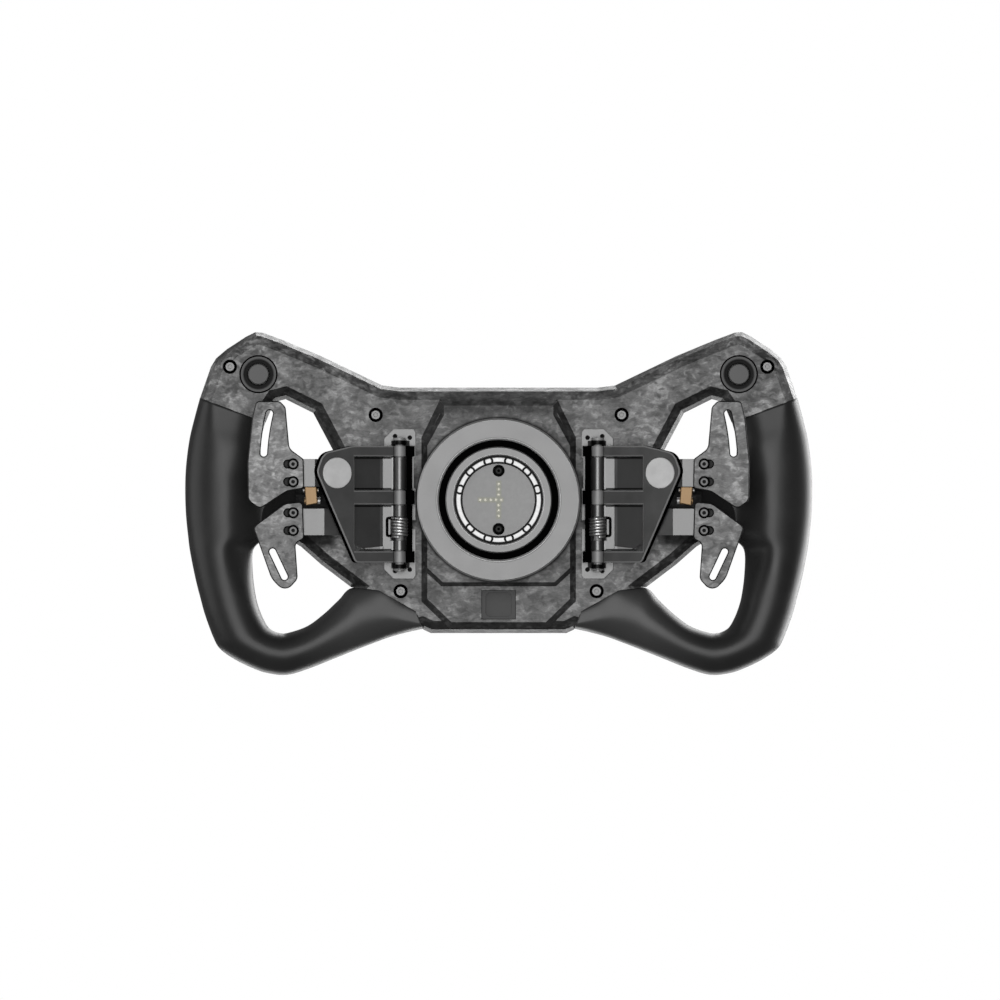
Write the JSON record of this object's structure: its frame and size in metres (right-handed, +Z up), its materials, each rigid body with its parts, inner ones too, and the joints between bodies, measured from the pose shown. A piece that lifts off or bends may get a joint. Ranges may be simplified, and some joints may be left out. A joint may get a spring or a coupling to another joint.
{
  "type": "sim racing wheel",
  "caption": "Formula-style sim racing wheel with open lower rim, rubber grips, shift and clutch paddles and a quick-release hub on its rear face.",
  "frame": {"origin": "centre of the quick-release bore, where its wall starts at the mouth", "axes": "-Y out of the bore towards the steering shaft, +X across the wheel, +Z up"},
  "size_m": [0.3016, 0.0655, 0.1649],
  "materials": {
    "forged_carbon": "satin forged carbon composite",
    "front_carbon": "satin forged carbon composite",
    "chassis": "bead-blasted aluminium plate",
    "grip_rubber": "matte black moulded rubber",
    "black_screw": "black oxide steel",
    "steel_screw": "zinc-plated steel",
    "hub_aluminium": "hard-anodised grey aluminium",
    "polished_steel": "polished hardened steel",
    "contact_face": "grey moulded plastic",
    "gold": "gold-plated contact",
    "black_steel": "phosphated spring steel",
    "spring_steel": "bright spring steel",
    "black_plastic": "matte moulded plastic",
    "button_grey": "matte moulded plastic",
    "port_rubber": "moulded rubber",
    "bracket_steel": "bead-blasted stainless steel",
    "pin_steel": "ground steel",
    "carrier_black": "black anodised aluminium",
    "magnet": "nickel-plated magnet",
    "brass": "turned brass",
    "board": "solder-masked circuit board",
    "button_cap": "matte moulded plastic",
    "knob_aluminium": "black anodised aluminium",
    "lens": "smoked clear lens"
  },
  "bodies": {
    "wheel_body": {"rear_shell": "forged_carbon", "front_shell": "front_carbon", "frame_plate": "chassis", "body_screws": "steel_screw", "hub_flange": "hub_aluminium", "hub_receiver": "hub_aluminium", "hub_bolts": "black_screw", "lock_ring": "polished_steel", "contact_block": "contact_face", "contact_screws": "black_screw", "contact_pads": "gold", "collar_clip": "black_steel", "collar_spring": "spring_steel", "rear_button_bezels": "black_plastic", "port_plug": "port_rubber", "bracket_screws": "black_screw", "main_board": "board", "switches": "black_plastic", "knob_encoders": "spring_steel", "paddle_sensors": "board", "front_button_bezels": "knob_aluminium", "led_lens": "lens", "left_grip": "grip_rubber", "left_hinge_bracket": "bracket_steel", "left_hinge_pin": "pin_steel", "left_torsion_spring": "spring_steel", "right_grip": "grip_rubber", "right_hinge_bracket": "bracket_steel", "right_hinge_pin": "pin_steel", "right_torsion_spring": "spring_steel"},
    "release_collar": {"release_collar": "hub_aluminium"},
    "left_shift_paddle": {"left_shift_carrier": "carrier_black", "left_magnet_cap": "magnet", "left_shift_arm": "bracket_steel", "left_throw_adjuster": "brass", "left_shift_blade": "forged_carbon", "left_shift_screws": "black_screw"},
    "left_clutch_paddle": {"left_clutch_lever": "bracket_steel", "left_clutch_blade": "forged_carbon", "left_clutch_screws": "black_screw"},
    "left_rear_button": {"left_rear_button": "button_grey"},
    "left_front_button_upper": {"left_front_button_upper": "button_cap"},
    "left_front_button_inner": {"left_front_button_inner": "button_cap"},
    "left_front_button_lower": {"left_front_button_lower": "button_cap"},
    "left_knob": {"left_knob": "knob_aluminium"},
    "right_shift_paddle": {"right_shift_carrier": "carrier_black", "right_magnet_cap": "magnet", "right_shift_arm": "bracket_steel", "right_throw_adjuster": "brass", "right_shift_blade": "forged_carbon", "right_shift_screws": "black_screw"},
    "right_clutch_paddle": {"right_clutch_lever": "bracket_steel", "right_clutch_blade": "forged_carbon", "right_clutch_screws": "black_screw"},
    "right_rear_button": {"right_rear_button": "button_grey"},
    "right_front_button_upper": {"right_front_button_upper": "button_cap"},
    "right_front_button_inner": {"right_front_button_inner": "button_cap"},
    "right_front_button_lower": {"right_front_button_lower": "button_cap"},
    "right_knob": {"right_knob": "knob_aluminium"}
  },
  "joints": [
    {"name": "collar_slide", "type": "slide", "parent": "wheel_body", "child": "release_collar", "axis": [0, 1, 0], "range_m": [0, 0.004], "stiffness_N_per_m": 2000, "springref_m": -0.003, "deforming": ["collar_spring"]},
    {"name": "left_shift_hinge", "type": "hinge", "parent": "wheel_body", "child": "left_shift_paddle", "pos_m": [-0.0476, 0.023, 0], "axis": [0, 0, -1], "range_deg": [0, 4], "stiffness_Nm_per_rad": 4, "springref_deg": -4.58},
    {"name": "left_clutch_hinge", "type": "hinge", "parent": "wheel_body", "child": "left_clutch_paddle", "pos_m": [-0.0476, 0.023, 0], "axis": [0, 0, -1], "range_deg": [0, 10], "stiffness_Nm_per_rad": 2.5, "springref_deg": -6.88, "deforming": ["left_torsion_spring"]},
    {"name": "left_rear_button_press", "type": "slide", "parent": "wheel_body", "child": "left_rear_button", "axis": [0, 1, 0], "range_m": [0, 0.0015], "stiffness_N_per_m": 600, "springref_m": -0.0015},
    {"name": "left_front_button_upper_press", "type": "slide", "parent": "wheel_body", "child": "left_front_button_upper", "axis": [0, -1, 0], "range_m": [0, 0.0012], "stiffness_N_per_m": 600, "springref_m": -0.0015},
    {"name": "left_front_button_inner_press", "type": "slide", "parent": "wheel_body", "child": "left_front_button_inner", "axis": [0, -1, 0], "range_m": [0, 0.0012], "stiffness_N_per_m": 600, "springref_m": -0.0015},
    {"name": "left_front_button_lower_press", "type": "slide", "parent": "wheel_body", "child": "left_front_button_lower", "axis": [0, -1, 0], "range_m": [0, 0.0012], "stiffness_N_per_m": 600, "springref_m": -0.0015},
    {"name": "left_knob_turn", "type": "hinge", "parent": "wheel_body", "child": "left_knob", "pos_m": [-0.057, 0.055, -0.008], "axis": [0, 1, 0], "continuous": true},
    {"name": "right_shift_hinge", "type": "hinge", "parent": "wheel_body", "child": "right_shift_paddle", "pos_m": [0.0476, 0.023, 0], "axis": [0, 0, 1], "range_deg": [0, 4], "stiffness_Nm_per_rad": 4, "springref_deg": -4.58},
    {"name": "right_clutch_hinge", "type": "hinge", "parent": "wheel_body", "child": "right_clutch_paddle", "pos_m": [0.0476, 0.023, 0], "axis": [0, 0, 1], "range_deg": [0, 10], "stiffness_Nm_per_rad": 2.5, "springref_deg": -6.88, "deforming": ["right_torsion_spring"]},
    {"name": "right_rear_button_press", "type": "slide", "parent": "wheel_body", "child": "right_rear_button", "axis": [0, 1, 0], "range_m": [0, 0.0015], "stiffness_N_per_m": 600, "springref_m": -0.0015},
    {"name": "right_front_button_upper_press", "type": "slide", "parent": "wheel_body", "child": "right_front_button_upper", "axis": [0, -1, 0], "range_m": [0, 0.0012], "stiffness_N_per_m": 600, "springref_m": -0.0015},
    {"name": "right_front_button_inner_press", "type": "slide", "parent": "wheel_body", "child": "right_front_button_inner", "axis": [0, -1, 0], "range_m": [0, 0.0012], "stiffness_N_per_m": 600, "springref_m": -0.0015},
    {"name": "right_front_button_lower_press", "type": "slide", "parent": "wheel_body", "child": "right_front_button_lower", "axis": [0, -1, 0], "range_m": [0, 0.0012], "stiffness_N_per_m": 600, "springref_m": -0.0015},
    {"name": "right_knob_turn", "type": "hinge", "parent": "wheel_body", "child": "right_knob", "pos_m": [0.057, 0.055, -0.008], "axis": [0, 1, 0], "continuous": true}
  ]
}
